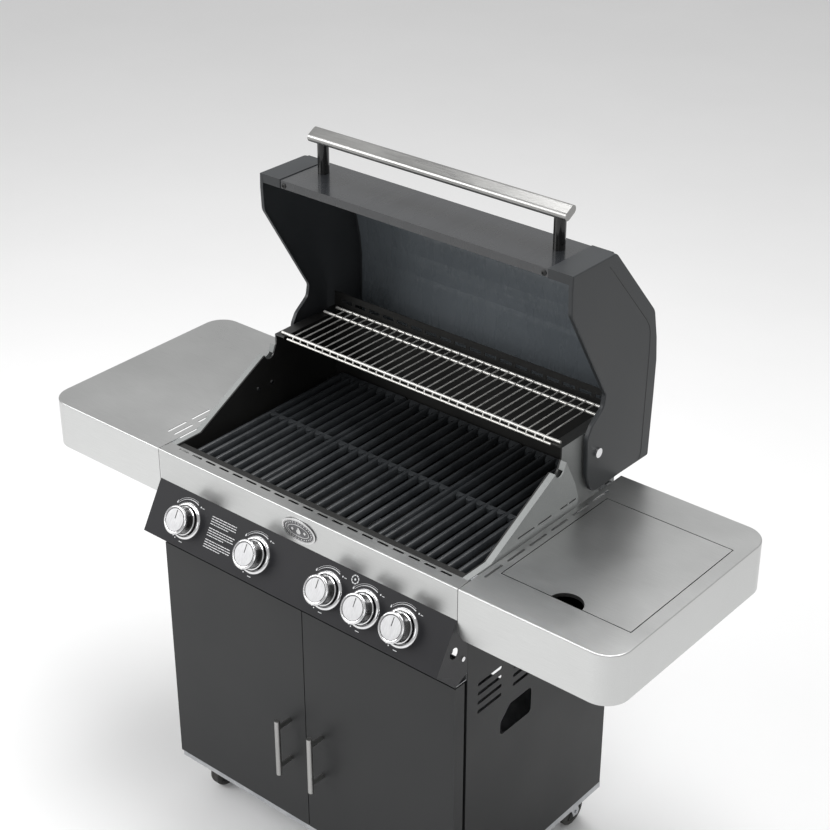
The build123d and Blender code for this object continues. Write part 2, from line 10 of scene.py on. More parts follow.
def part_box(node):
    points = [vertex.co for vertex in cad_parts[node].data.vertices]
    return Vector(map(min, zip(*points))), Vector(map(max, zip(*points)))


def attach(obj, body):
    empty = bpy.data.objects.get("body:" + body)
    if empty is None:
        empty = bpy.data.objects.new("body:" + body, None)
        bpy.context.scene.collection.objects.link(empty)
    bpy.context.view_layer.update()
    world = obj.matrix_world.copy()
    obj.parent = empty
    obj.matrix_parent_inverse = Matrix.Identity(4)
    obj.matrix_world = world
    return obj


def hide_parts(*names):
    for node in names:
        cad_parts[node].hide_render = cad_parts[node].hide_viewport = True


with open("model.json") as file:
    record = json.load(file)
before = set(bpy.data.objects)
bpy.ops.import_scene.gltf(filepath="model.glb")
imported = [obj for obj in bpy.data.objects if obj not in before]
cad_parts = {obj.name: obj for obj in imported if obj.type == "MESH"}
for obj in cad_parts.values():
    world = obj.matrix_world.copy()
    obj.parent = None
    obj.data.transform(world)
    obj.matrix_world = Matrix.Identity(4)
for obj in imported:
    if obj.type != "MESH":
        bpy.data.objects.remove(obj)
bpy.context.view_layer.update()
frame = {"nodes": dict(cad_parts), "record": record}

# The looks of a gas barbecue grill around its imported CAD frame. Metres, +Z up, origin on the floor.
NODES = frame["nodes"]
JOINTS = {joint["name"]: joint for joint in frame["record"]["behaviour"]["joints"]}
MM = 0.001

CAMERA_LENS = 78.69
CAMERA_AT = (2.06661, -2.39249, 2.76646)
CAMERA_TURN = (60.82, 0.0, 39.97)     # degrees

KNOB_PIVOT_HEIGHT = 20 * MM           # of a knob's joint above the panel's face
SIDE_WALL_X = 375.3 * MM              # a side plate's outer wall starts here
LID_MIDDLE = Vector((0.0, 0.03, 0.16))  # a point inside the lid, from its hinge
# The pressed step on a lid cap, as (y, z) in mm from the hinge; the dark bead along it is painted crease
# shadow.
CAP_LINE = [(8, 390), (20, 377), (146, 231), (158, 213), (163, 196), (164, 159), (158, -70), (152, -84)]

BAR_WIDTH = 14 * MM
BAR_COUNTS = {"left": 8, "middle": 12, "right": 8}
WEB_FROM_FRONT = 221 * MM             # the middle web, from a grate's front edge

RACK_WIRES = 32
RACK_PITCH = 21.2 * MM
RACK_WIRE_RADIUS = 1.55 * MM
RACK_RAIL_RADIUS = 3 * MM
LOWER_RAIL_RADIUS = 2.4 * MM

LID_SCREW_RADIUS = 6 * MM
WHEEL_HALF_WIDTH = 12.0
CORNERS = ("front_left", "front_right", "rear_left", "rear_right")


# ---------------------------------------------------------------- camera
def make_camera():
    """The camera of the main view, above and to the right of the grill's front."""
    data = bpy.data.cameras.new("camera")
    data.lens = CAMERA_LENS
    data.sensor_width = 36.0
    camera = bpy.data.objects.new("camera", data)
    camera.location = CAMERA_AT
    camera.rotation_euler = [math.radians(turn) for turn in CAMERA_TURN]
    bpy.context.collection.objects.link(camera)
    bpy.context.scene.camera = camera


# ---------------------------------------------------------------- material helpers
class Shader:
    """A material with a Principled shader and short calls for the nodes that feed it."""

    def __init__(self, name, color, metallic=0.0, roughness=0.5, **sockets):
        self.material = bpy.data.materials.new(name)
        self.material.use_nodes = True
        self.nodes = self.material.node_tree.nodes
        self.links = self.material.node_tree.links
        self.bsdf = self.nodes["Principled BSDF"]
        self.bsdf.inputs["Base Color"].default_value = (*color, 1.0)
        self.bsdf.inputs["Metallic"].default_value = metallic
        self.bsdf.inputs["Roughness"].default_value = roughness
        for socket, value in sockets.items():
            self.bsdf.inputs[socket.replace("_", " ")].default_value = value
        source = self.nodes.new("ShaderNodeTexCoord")
        self.coords = source.outputs["Object"]
        self.object_normal = source.outputs["Normal"]
        self.normal = None

    def noise(self, scale, stretch=(1, 1, 1), detail=4.0, rough=0.55):
        """A noise value over the surface, in object space, stretched along an axis."""
        mapping = self.nodes.new("ShaderNodeMapping")
        mapping.inputs["Scale"].default_value = stretch
        self.links.new(self.coords, mapping.inputs["Vector"])
        noise = self.nodes.new("ShaderNodeTexNoise")
        noise.inputs["Scale"].default_value = scale
        noise.inputs["Detail"].default_value = detail
        noise.inputs["Roughness"].default_value = rough
        self.links.new(mapping.outputs["Vector"], noise.inputs["Vector"])
        return noise.outputs["Fac"]

    def spread(self, value, low, high, start=0.3, end=0.7):
        """Map a value to another range."""
        node = self.nodes.new("ShaderNodeMapRange")
        for name, number in (("From Min", start), ("From Max", end), ("To Min", low), ("To Max", high)):
            node.inputs[name].default_value = number
        self.links.new(value, node.inputs["Value"])
        return node.outputs["Result"]

    def average(self, first, second, factor=0.5):
        """Mix two values."""
        node = self.nodes.new("ShaderNodeMix")
        node.inputs["Factor"].default_value = factor
        self.links.new(first, node.inputs["A"])
        self.links.new(second, node.inputs["B"])
        return node.outputs["Result"]

    def ramp(self, value, low, high, start=0.3, end=0.7):
        """A colour between two colours, by a value."""
        node = self.nodes.new("ShaderNodeValToRGB")
        node.color_ramp.elements[0].position = start
        node.color_ramp.elements[0].color = (*low, 1.0)
        node.color_ramp.elements[1].position = end
        node.color_ramp.elements[1].color = (*high, 1.0)
        self.links.new(value, node.inputs["Fac"])
        return node.outputs["Color"]

    def colors(self, value, low, high, start=0.3, end=0.7):
        """Colour the surface between two colours by a value."""
        self.links.new(self.ramp(value, low, high, start, end), self.bsdf.inputs["Base Color"])

    def beyond(self, axis, edge):
        """One where the surface is farther than some distance from the middle along an axis."""
        split = self.nodes.new("ShaderNodeSeparateXYZ")
        self.links.new(self.coords, split.inputs["Vector"])
        size = self.nodes.new("ShaderNodeMath")
        size.operation = "ABSOLUTE"
        self.links.new(split.outputs[axis], size.inputs[0])
        return self.spread(size.outputs["Value"], 0.0, 1.0, edge, edge + 0.0003)

    def facing_out(self, centre):
        """One where the surface faces away from a point in object space."""
        arm = self.nodes.new("ShaderNodeVectorMath")
        arm.operation = "SUBTRACT"
        arm.inputs[1].default_value = centre
        self.links.new(self.coords, arm.inputs[0])
        dot = self.nodes.new("ShaderNodeVectorMath")
        dot.operation = "DOT_PRODUCT"
        self.links.new(arm.outputs["Vector"], dot.inputs[0])
        self.links.new(self.object_normal, dot.inputs[1])
        return self.spread(dot.outputs["Value"], 0.0, 1.0, -0.0001, 0.0001)

    def paint_and_sheen_tones(self, mask, first, second):
        """Colour the surface with one pair of colours outside a mask and another pair inside it. The side
        plate gets two paints; the lid gets a painted sheen inside and its black enamel outside.
        """
        value = self.average(self.noise(5.0, detail=5.0), self.noise(400.0, detail=3.0), 0.4)
        mix = self.nodes.new("ShaderNodeMix")
        mix.data_type = "RGBA"
        # coat takes the first pair, where the mask is 0; on the lid this is the painted sheen of reflected
        # light inside it.
        factor, coat, other_coat = mix.inputs["Factor"], mix.inputs[6], mix.inputs[7]
        self.links.new(mask, factor)
        self.links.new(self.ramp(value, *first), coat)
        self.links.new(self.ramp(value, *second), other_coat)
        self.links.new(mix.outputs[2], self.bsdf.inputs["Base Color"])

    def roughness(self, value, low, high, start=0.3, end=0.7):
        """Vary the roughness by a value."""
        self.links.new(self.spread(value, low, high, start, end), self.bsdf.inputs["Roughness"])

    def bump(self, value, depth, strength=1.0):
        """Add a bump of some depth in metres."""
        node = self.nodes.new("ShaderNodeBump")
        node.inputs["Distance"].default_value = depth
        node.inputs["Strength"].default_value = strength
        self.links.new(value, node.inputs["Height"])
        if self.normal is not None:
            self.links.new(self.normal, node.inputs["Normal"])
        self.normal = node.outputs["Normal"]
        self.links.new(self.normal, self.bsdf.inputs["Normal"])


def brushed_steel(name, light, dark, grain, rough=(0.26, 0.42)):
    """Satin steel with a fine grain along one axis and faint smears."""
    shader = Shader(name, light, metallic=1.0, roughness=0.34)
    fine = shader.noise(60.0, grain, detail=6.0, rough=0.7)
    smear = shader.noise(3.5, (1, 1, 1), detail=3.0)
    shader.colors(shader.average(fine, smear, 0.35), dark, light)
    shader.roughness(shader.average(fine, smear, 0.5), *rough)
    shader.bump(fine, 0.00012, 0.22)
    return shader.material


def painted(name, low, high, rough, texture, depth, coat=0.0, specular=0.4):
    """Painted metal with a fine texture and slightly uneven gloss."""
    shader = Shader(name, high, roughness=rough[0], Coat_Weight=coat, Coat_Roughness=0.08,
                    Specular_IOR_Level=specular)
    cloud = shader.noise(5.0, detail=5.0)
    grain = shader.noise(texture, detail=3.0)
    shader.colors(shader.average(cloud, grain, 0.4), low, high)
    shader.roughness(shader.average(cloud, grain, 0.3), *rough)
    shader.bump(grain, depth, 0.5)
    return shader.material


def lid_enamel():
    """Black gloss enamel outside the lid; inside it, a blue-grey colour that is a painted sheen of reflected
    light on the black enamel.
    """
    shader = Shader("lid_enamel", (0.02, 0.022, 0.025), roughness=0.25, Coat_Weight=0.6)
    shell = NODES["lid_shell"]
    hinge = Vector(JOINTS["lid_hinge"]["pos_m"])
    centre = shell.matrix_world.inverted() @ (hinge + LID_MIDDLE)
    mask = shader.facing_out(centre)
    # Inside the lid: a blue-grey painted sheen of reflected light. Outside: the black enamel.
    shader.paint_and_sheen_tones(mask, ((0.105, 0.12, 0.134), (0.15, 0.168, 0.184)),
                     ((0.011, 0.012, 0.014), (0.02, 0.022, 0.025)))
    shader.roughness(shader.noise(6.0, (6, 1, 1)), 0.2, 0.36)
    shader.bump(shader.noise(140.0, detail=3.0), 0.00008, 0.4)
    return shader.material


def side_enamel():
    """Light grey paint on the outer wall of a side plate, black enamel on its inner wall."""
    shader = Shader("side_plate_enamel", (0.2, 0.2, 0.2), roughness=0.35, Specular_IOR_Level=0.5)
    shader.paint_and_sheen_tones(shader.beyond("X", SIDE_WALL_X), ((0.008, 0.008, 0.008), (0.016, 0.016, 0.015)),
                     ((0.22, 0.23, 0.228), (0.3, 0.31, 0.307)))
    shader.roughness(shader.noise(5.0, detail=5.0), 0.3, 0.45)
    shader.bump(shader.noise(400.0, detail=3.0), 0.00008, 0.5)
    return shader.material


def cast_iron():
    """Matte enamelled iron with a sandy surface and cloudy patches of tone and gloss."""
    shader = Shader("cast_iron", (0.03, 0.034, 0.038), roughness=0.55, Specular_IOR_Level=0.6)
    sand = shader.noise(700.0, detail=5.0, rough=0.7)
    cloud = shader.noise(22.0, detail=6.0, rough=0.65)
    shader.colors(shader.average(sand, cloud, 0.5), (0.009, 0.0105, 0.012), (0.035, 0.039, 0.043))
    shader.roughness(cloud, 0.3, 0.5)
    shader.bump(sand, 0.0005, 0.5)
    shader.bump(cloud, 0.0008, 0.25)
    return shader.material


def chrome(name, color=(0.8, 0.8, 0.81), rough=(0.07, 0.2)):
    """Plated metal with faint dulling."""
    shader = Shader(name, color, metallic=1.0, roughness=rough[0])
    cloud = shader.noise(45.0, detail=5.0)
    shader.roughness(cloud, *rough)
    shader.colors(cloud, tuple(0.86 * c for c in color), color)
    shader.bump(shader.noise(260.0, detail=2.0), 0.00006, 0.15)
    return shader.material


def plated_wire():
    """Bright plated wire with small dull patches."""
    shader = Shader("plated_wire", (0.8, 0.79, 0.76), metallic=0.5, roughness=0.3)
    patch = shader.noise(80.0, detail=5.0)
    shader.colors(patch, (0.62, 0.61, 0.58), (0.86, 0.85, 0.82))
    shader.roughness(patch, 0.24, 0.42)
    shader.bump(shader.noise(300.0, detail=2.0), 0.00006, 0.2)
    return shader.material


def spun_face():
    """The knob's silver face, with a soft satin grain."""
    shader = Shader("knob_face_silver", (0.7, 0.7, 0.71), metallic=0.6, roughness=0.42)
    grain = shader.noise(420.0, (1, 0.2, 0.2), detail=4.0)
    shader.colors(grain, (0.54, 0.54, 0.55), (0.66, 0.66, 0.67))
    shader.roughness(grain, 0.3, 0.46)
    shader.bump(grain, 0.00008, 0.2)
    return shader.material


def rubber():
    """Matte black tread with dust."""
    shader = Shader("wheel_rubber", (0.03, 0.03, 0.03), roughness=0.75)
    dust = shader.noise(60.0, detail=6.0, rough=0.7)
    shader.colors(dust, (0.018, 0.018, 0.018), (0.07, 0.068, 0.063))
    shader.roughness(dust, 0.6, 0.9)
    shader.bump(shader.noise(500.0), 0.0004, 0.5)
    return shader.material


def zinc():
    """Zinc-plated steel with a mottled bloom."""
    shader = Shader("zinc_steel", (0.5, 0.51, 0.52), metallic=0.9, roughness=0.42)
    bloom = shader.noise(28.0, detail=8.0, rough=0.7)
    shader.colors(bloom, (0.36, 0.37, 0.39), (0.6, 0.61, 0.62))
    shader.roughness(bloom, 0.3, 0.55)
    shader.bump(bloom, 0.0002, 0.2)
    return shader.material


def brass():
    """Machined brass with a light tarnish."""
    shader = Shader("machined_brass", (0.7, 0.52, 0.25), metallic=1.0, roughness=0.3)
    stain = shader.noise(70.0, detail=5.0)
    shader.colors(stain, (0.45, 0.31, 0.13), (0.78, 0.6, 0.3))
    shader.roughness(stain, 0.22, 0.5)
    shader.bump(shader.noise(500.0, (1, 6, 1)), 0.0001, 0.3)
    return shader.material


def print_white():
    """White printed ink, slightly uneven."""
    shader = Shader("print_white", (0.75, 0.76, 0.78), roughness=0.5)
    wear = shader.noise(900.0, detail=3.0)
    shader.colors(wear, (0.6, 0.61, 0.63), (0.82, 0.83, 0.84), 0.35, 0.6)
    shader.roughness(wear, 0.4, 0.6)
    return shader.material


def floor_material():
    """A plain pale floor."""
    shader = Shader("floor_pale", (0.93, 0.93, 0.93), roughness=0.7)
    shader.colors(shader.noise(1.5), (0.92, 0.92, 0.92), (0.94, 0.94, 0.94))
    return shader.material


def make_materials():
    """Every material of the grill, by a short name."""
    return {
        "table": brushed_steel("table_steel", (0.66, 0.665, 0.66), (0.52, 0.525, 0.52), (0.35, 22, 22)),
        "fascia": brushed_steel("fascia_steel", (0.6, 0.605, 0.6), (0.46, 0.465, 0.46), (0.35, 22, 22)),
        "handle": brushed_steel("handle_steel", (0.5, 0.497, 0.485), (0.24, 0.24, 0.236), (0.25, 40, 40),
                                (0.24, 0.45)),
        "panel": painted("panel_anthracite", (0.011, 0.011, 0.013), (0.018, 0.018, 0.021), (0.36, 0.5),
                         1800.0, 0.00008, specular=0.32),
        "door": painted("door_anthracite", (0.012, 0.0125, 0.013), (0.019, 0.02, 0.021), (0.4, 0.54),
                        1600.0, 0.0001, specular=0.32),
        "cap": painted("cap_hammered_paint", (0.02, 0.022, 0.024), (0.036, 0.039, 0.042), (0.36, 0.5),
                       900.0, 0.0002),
        "shell": lid_enamel(),
        "side": side_enamel(),
        "tub": painted("tub_enamel", (0.006, 0.006, 0.006), (0.014, 0.014, 0.013), (0.4, 0.65), 300.0,
                       0.0002),
        "post": painted("post_gloss_black", (0.004, 0.004, 0.004), (0.008, 0.008, 0.008), (0.1, 0.2),
                        120.0, 0.00004, coat=0.3),
        "knob_side": painted("knob_black", (0.006, 0.006, 0.006), (0.014, 0.014, 0.014), (0.14, 0.26),
                             300.0, 0.00004, coat=0.5),
        "iron": cast_iron(),
        "chrome": chrome("bright_chrome"),
        "wire": plated_wire(),
        "badge": chrome("badge_pewter", (0.62, 0.62, 0.62), (0.16, 0.3)),
        "badge_field": chrome("badge_field_pewter", (0.16, 0.16, 0.165), (0.3, 0.45)),
        "face": spun_face(),
        "rubber": rubber(),
        "zinc": zinc(),
        "brass": brass(),
        "ceramic": painted("igniter_ceramic", (0.7, 0.69, 0.65), (0.85, 0.84, 0.8), (0.15, 0.3), 200.0,
                           0.00005),
        "print": print_white(),
        # Dark ink on the pointers and the screw heads; on the caps' crease beads the same dark colour is
        # painted shade.
        "ink_and_painted_shade": painted("dark_ink_and_painted_shade", (0.01, 0.01, 0.01), (0.02, 0.02, 0.02), (0.4, 0.6), 500.0, 0.00003),
        "floor": floor_material(),
    }


# ---------------------------------------------------------------- mesh helpers
def finish_piece(mesh, name, material, body, smooth=35.0):
    """Turn a bmesh into a shaded object that rides on a body."""
    bmesh.ops.recalc_face_normals(mesh, faces=mesh.faces)
    data = bpy.data.meshes.new(name)
    mesh.to_mesh(data)
    mesh.free()
    piece = bpy.data.objects.new(name, data)
    bpy.context.collection.objects.link(piece)
    for item in material if isinstance(material, list) else [material]:
        data.materials.append(item)
    data.polygons.foreach_set("use_smooth", [True] * len(data.polygons))
    data.set_sharp_from_angle(angle=math.radians(smooth))
    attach(piece, body)
    return piece


def bevelled(piece, width, segments=2, angle=30.0):
    """Round an object's sharp edges with a modifier."""
    modifier = piece.modifiers.new("bevel", "BEVEL")
    modifier.width = width
    modifier.segments = segments
    modifier.limit_method = "ANGLE"
    modifier.angle_limit = math.radians(angle)
    modifier.harden_normals = False
    return piece


def lathe(mesh, profile, matrix, steps=72, slots=None):
    """Add a closed body of revolution: (radius, height) points turned round the matrix's Z axis."""
    rings = []
    for radius, height in profile:
        if radius < 1e-7:
            rings.append([mesh.verts.new(matrix @ Vector((0, 0, height)))])
            continue
        ring = []
        for i in range(steps):
            turn = 2 * math.pi * i / steps
            point = Vector((radius * math.cos(turn), radius * math.sin(turn), height))
            ring.append(mesh.verts.new(matrix @ point))
        rings.append(ring)
    closed = len(rings[0]) > 1
    pairs = list(zip(rings, rings[1:] + rings[:1])) if closed else list(zip(rings, rings[1:]))
    for index, (low, high) in enumerate(pairs):
        for i in range(steps):
            j = (i + 1) % steps
            if len(low) == 1:
                face = mesh.faces.new((low[0], high[j], high[i]))
            elif len(high) == 1:
                face = mesh.faces.new((low[i], low[j], high[0]))
            else:
                face = mesh.faces.new((low[i], low[j], high[j], high[i]))
            if slots:
                face.material_index = slots[index]


def tube(mesh, points, radius, sides=12):
    """Add a round wire along some points, with closed ends."""
    points = [Vector(point) for point in points]
    rings = []
    side = None
    for i, point in enumerate(points):
        before = points[i] - points[max(i - 1, 0)]
        after = points[min(i + 1, len(points) - 1)] - points[i]
        along = (before.normalized() + after.normalized()).normalized()
        if side is None:
            side = along.orthogonal().normalized()
        side = (side - along * side.dot(along)).normalized()
        other = along.cross(side)
        ring = []
        for k in range(sides):
            turn = 2 * math.pi * k / sides
            offset = side * math.cos(turn) + other * math.sin(turn)
            ring.append(mesh.verts.new(point + offset * radius))
        rings.append(ring)
    for low, high in zip(rings, rings[1:]):
        for k in range(sides):
            j = (k + 1) % sides
            mesh.faces.new((low[k], low[j], high[j], high[k]))
    mesh.faces.new(rings[0][::-1])
    mesh.faces.new(rings[-1])


def slab(mesh, outline, low, high, matrix=Matrix()):
    """Add a flat outline in local X and Y, made solid between two local heights."""
    bottom = [mesh.verts.new(matrix @ Vector((x, y, low))) for x, y in outline]
    top = [mesh.verts.new(matrix @ Vector((x, y, high))) for x, y in outline]
    mesh.faces.new(bottom[::-1])
    mesh.faces.new(top)
    for i in range(len(outline)):
        j = (i + 1) % len(outline)
        mesh.faces.new((bottom[i], bottom[j], top[j], top[i]))


def arc_band(radius, width, start, end, steps=24):
    """The outline of a band along an arc; its width may grow from its start to its end."""
    outer = []
    inner = []
    for i in range(steps + 1):
        part = i / steps
        turn = math.radians(start + (end - start) * part)
        half = (width[0] + (width[1] - width[0]) * part) / 2
        outer.append(((radius + half) * math.cos(turn), (radius + half) * math.sin(turn)))
        inner.append(((radius - half) * math.cos(turn), (radius - half) * math.sin(turn)))
    return outer + inner[::-1]


def disc(x, y, radius, steps=20):
    """The outline of a small disc."""
    turns = [2 * math.pi * i / steps for i in range(steps)]
    return [(x + radius * math.cos(turn), y + radius * math.sin(turn)) for turn in turns]


def strip(x0, x1, y0, y1):
    """The outline of a rectangle."""
    return [(x0, y0), (x1, y0), (x1, y1), (x0, y1)]


def axes_at(origin, x_axis, z_axis):
    """A matrix with its origin, X axis and Z axis given."""
    z_axis = Vector(z_axis).normalized()
    x_axis = Vector(x_axis).normalized()
    y_axis = z_axis.cross(x_axis)
    matrix = Matrix((x_axis, y_axis, z_axis)).transposed().to_4x4()
    matrix.translation = Vector(origin)
    return matrix


# ---------------------------------------------------------------- control panel
def panel_axes(number):
    """The frame of one knob: its origin on the panel's face, X to the right and Z outwards."""
    joint = JOINTS[f"knob_{number}_turn"]
    outward = Vector(joint["axis"]).normalized()
    return axes_at(Vector(joint["pos_m"]) - outward * KNOB_PIVOT_HEIGHT, (1, 0, 0), outward)


def make_knob(number, looks):
    """A knob with a black side, chrome rims, a silver face and its pointer line."""
    matrix = panel_axes(number)
    profile = [(0, 9), (29.6, 9), (30, 9.6), (30, 11.2), (29.2, 12), (28.6, 12.6), (28.0, 30.5),
               (28.3, 31.2), (29.6, 32), (29.9, 33.2), (29.6, 35.2), (28.2, 36.6), (26.2, 37),
               (24.6, 36.5), (24.2, 35.9), (23.6, 35.9), (23.2, 36.4), (0, 36.5)]
    profile = [(radius * MM, height * MM) for radius, height in profile]
    slots = [0, 1, 1, 1, 1, 0, 0, 1, 1, 1, 1, 1, 1, 0, 0, 0, 2]
    mesh = bmesh.new()
    lathe(mesh, profile, matrix, 96, slots)
    finishes = [looks["knob_side"], looks["chrome"], looks["face"]]
    knob = finish_piece(mesh, f"knob_{number}_turned", finishes, f"knob_body_{number}")
    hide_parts(f"knob_{number}")
    mesh = bmesh.new()
    slab(mesh, strip(-0.8 * MM, 0.8 * MM, 3 * MM, 21 * MM), 36.3 * MM, 36.75 * MM, matrix)
    finish_piece(mesh, f"knob_{number}_pointer", looks["ink_and_painted_shade"], f"knob_body_{number}")


def make_bezels(looks):
    """The five chrome rings round the knobs, each with an inner collar."""
    mesh = bmesh.new()
    ring = [(39, 0), (39, 1.6), (38.4, 3.6), (36.8, 5.6), (34.8, 6.8), (33.2, 7), (32.4, 6.2), (32, 4),
            (32, 0)]
    collar = [(31.6, 0.1), (31.6, 3.6), (31.2, 4.2), (30.6, 4.2), (30.2, 3.6), (30.2, 0.1)]
    for number in range(1, 6):
        for profile in (ring, collar):
            lathe(mesh, [(r * MM, h * MM) for r, h in profile], panel_axes(number), 96)
    piece = finish_piece(mesh, "bezel_rings", looks["chrome"], "root")
    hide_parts("knob_bezels")


def knob_marks():
    """The outlines printed round a knob: arcs, a flame, dots and short lines."""
    marks = [arc_band(44 * MM, (0.5 * MM, 1.9 * MM), 140, 66),
             arc_band(47.4 * MM, (0.5 * MM, 0.5 * MM), 138, 70),
             disc(26 * MM, 38.5 * MM, 1.7 * MM), strip(30 * MM, 35.5 * MM, 37 * MM, 38.3 * MM)]
    flame = [(0, 3.4), (1.3, 1.2), (1.9, -0.9), (1.1, -2.9), (-1.1, -2.9), (-1.9, -0.9), (-0.8, 0.6)]
    marks.append([((x - 37.5) * MM, (y + 29) * MM) for x, y in flame])
    for i in range(4):
        turn = math.radians(222 + 9 * i)
        marks.append(disc(44 * MM * math.cos(turn), 44 * MM * math.sin(turn), 1.4 * MM))
    marks.append(strip(-3 * MM, 6 * MM, -45.4 * MM, -44 * MM))
    return marks


def printed_lines():
    """The outlines of three groups of dashes, halfway between the first two knobs."""
    rows = random.Random(5)
    pitch = JOINTS["knob_2_turn"]["pos_m"][0] - JOINTS["knob_1_turn"]["pos_m"][0]
    left = pitch / 2 - 36 * MM
    dashes = []
    for group in range(3):
        for line in range(4):
            y = 32 * MM - group * 24 * MM - line * 5 * MM
            x = left
            end = left + (72 - 22 * (line == 3)) * MM
            while x < end - 3 * MM:
                width = min(rows.uniform(3, 11) * MM, end - x)
                dashes.append(strip(x, x + width, y, y + 1.5 * MM))
                x += width + 1.4 * MM
    return dashes


def make_prints(looks):
    """Printed marks on the panel: round each knob, between the first two, and by the fourth."""
    mesh = bmesh.new()
    low, high = 0.02 * MM, 0.16 * MM
    for number in range(1, 6):
        for outline in knob_marks():
            slab(mesh, outline, low, high, panel_axes(number))
    for outline in printed_lines():
        slab(mesh, outline, low, high, panel_axes(1))
    ring = panel_axes(4) @ Matrix.Translation((-40 * MM, 44 * MM, 0))
    for i in range(8):
        slab(mesh, arc_band(8 * MM, (2.2 * MM, 2.2 * MM), 45 * i + 5, 45 * i + 40, 6), low, high, ring)
    slab(mesh, disc(0, 0, 2.2 * MM), low, high, ring)
    finish_piece(mesh, "panel_print", looks["print"], "root")


def oval(width, height, steps=72):
    """The outline of an ellipse."""
    turns = [2 * math.pi * i / steps for i in range(steps)]
    return [(width * math.cos(turn) / 2, height * math.sin(turn) / 2) for turn in turns]


def make_badge(looks):
    """An oval plate with raised rims, a ring of beads and a plain flame."""
    low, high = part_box("badge")
    centre = Vector(((low[0] + high[0]) / 2, high[1], (low[2] + high[2]) / 2))
    matrix = axes_at(centre, (1, 0, 0), (0, -1, 0))
    mesh = bmesh.new()
    slab(mesh, oval(87 * MM, 48.6 * MM), 0, 1.5 * MM, matrix)
    finish_piece(mesh, "badge_field", looks["badge_field"], "root", 30)
    mesh = bmesh.new()
    for width, height, line in ((88, 49.6, 3.4), (80, 42, 1.0), (56, 25, 1.2)):
        outer = oval(width * MM, height * MM)
        inner = oval((width - 2 * line) * MM, (height - 2 * line) * MM)
        for i in range(len(outer)):
            j = (i + 1) % len(outer)
            slab(mesh, [outer[i], outer[j], inner[j], inner[i]], 1.4 * MM, 2.8 * MM, matrix)
    for i in range(28):
        turn = 2 * math.pi * i / 28
        slab(mesh, disc(34 * MM * math.cos(turn), 16.8 * MM * math.sin(turn), 1.3 * MM, 10),
             1.4 * MM, 2.4 * MM, matrix)
    flame = [(0, 8), (2.2, 4.4), (5.4, 1), (5.8, -3), (3.2, -6.6), (-3.2, -6.6), (-5.8, -3), (-4.6, 1.4),
             (-2.2, 2.6), (-2.4, 5)]
    slab(mesh, [(x * MM, y * MM) for x, y in flame], 1.4 * MM, 2.6 * MM, matrix)
    for x in (-16, 16):
        slab(mesh, disc(x * MM, 0, 3 * MM, 16), 1.4 * MM, 2.5 * MM, matrix)
    piece = finish_piece(mesh, "badge_plate", looks["badge"], "root", 30)
    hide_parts("badge")


# ---------------------------------------------------------------- grates and rack
def grate_bar(mesh, x, y, top, bottom, width):
    """One cast bar: wide below, narrower above, with a rounded top and sloping ends."""
    half = width / 2
    section = [(-half, 0.0), (-half * 0.94, 0.3), (-half * 0.62, 0.86), (-half * 0.4, 0.98), (0.0, 1.0),
               (half * 0.4, 0.98), (half * 0.62, 0.86), (half * 0.94, 0.3), (half, 0.0)]
    stations = [(y[0], 0.7), (y[0] + 2 * MM, 0.93), (y[0] + 5 * MM, 1.0),
                (y[1] - 5 * MM, 1.0), (y[1] - 2 * MM, 0.93), (y[1], 0.7)]
    rings = []
    for station, height in stations:
        ring = []
        for across, up in section:
            z = bottom + (top - bottom) * up * height
            ring.append(mesh.verts.new((x + across, station, z)))
        rings.append(ring)
    count = len(section)
    for low, high in zip(rings, rings[1:]):
        for k in range(count):
            j = (k + 1) % count
            mesh.faces.new((low[k], low[j], high[j], high[k]))
    mesh.faces.new(rings[0][::-1])
    mesh.faces.new(rings[-1])


def sloped_web(mesh, x, wide, narrow, y, low, high):
    """A web between two bars: narrow and low in front, wide and high at the back."""
    front = [(x - narrow / 2, y[0], low), (x + narrow / 2, y[0], low),
             (x + narrow / 2, y[0], high[0]), (x - narrow / 2, y[0], high[0])]
    back = [(x - wide / 2, y[1], low), (x + wide / 2, y[1], low),
            (x + wide / 2, y[1], high[1]), (x - wide / 2, y[1], high[1])]
    front = [mesh.verts.new(point) for point in front]
    back = [mesh.verts.new(point) for point in back]
    mesh.faces.new(front[::-1])
    mesh.faces.new(back)
    for i in range(4):
        j = (i + 1) % 4
        mesh.faces.new((front[i], front[j], back[j], back[i]))


def make_grates(looks):
    """The three cast grates: bars, low end bars, and webs at the middle and at the back."""
    for side, bars in BAR_COUNTS.items():
        low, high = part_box("grate_" + side)
        pitch = (high[0] - low[0] - BAR_WIDTH) / (bars - 1)
        mesh = bmesh.new()
        xs = [low[0] + BAR_WIDTH / 2 + pitch * i for i in range(bars)]
        for x in xs:
            grate_bar(mesh, x, (low[1], high[1]), high[2], low[2], BAR_WIDTH)
        middle = low[1] + WEB_FROM_FRONT
        base = low[2] + 0.5 * MM
        slab(mesh, strip(xs[0], xs[-1], low[1] + 1 * MM, low[1] + 8 * MM), base, high[2] - 4 * MM)
        slab(mesh, strip(xs[0], xs[-1], high[1] - 5 * MM, high[1] - 1 * MM), base, high[2] - 1.2 * MM)
        slab(mesh, strip(xs[0], xs[-1], middle - 4 * MM, middle + 4 * MM), base, high[2] - 2 * MM)
        for x in xs[:-1]:
            centre = x + pitch / 2
            sloped_web(mesh, centre, pitch * 0.86, pitch * 0.3, (middle - 8 * MM, middle + 6 * MM), base,
                       (high[2] - 1.6 * MM, high[2] - 0.6 * MM))
            sloped_web(mesh, centre, pitch * 0.9, pitch * 0.3, (high[1] - 18 * MM, high[1] - 3 * MM), base,
                       (high[2] - 3 * MM, high[2] - 0.6 * MM))
        piece = finish_piece(mesh, f"grate_{side}_casting", looks["iron"], side + "_grate", 40)
        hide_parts("grate_" + side)


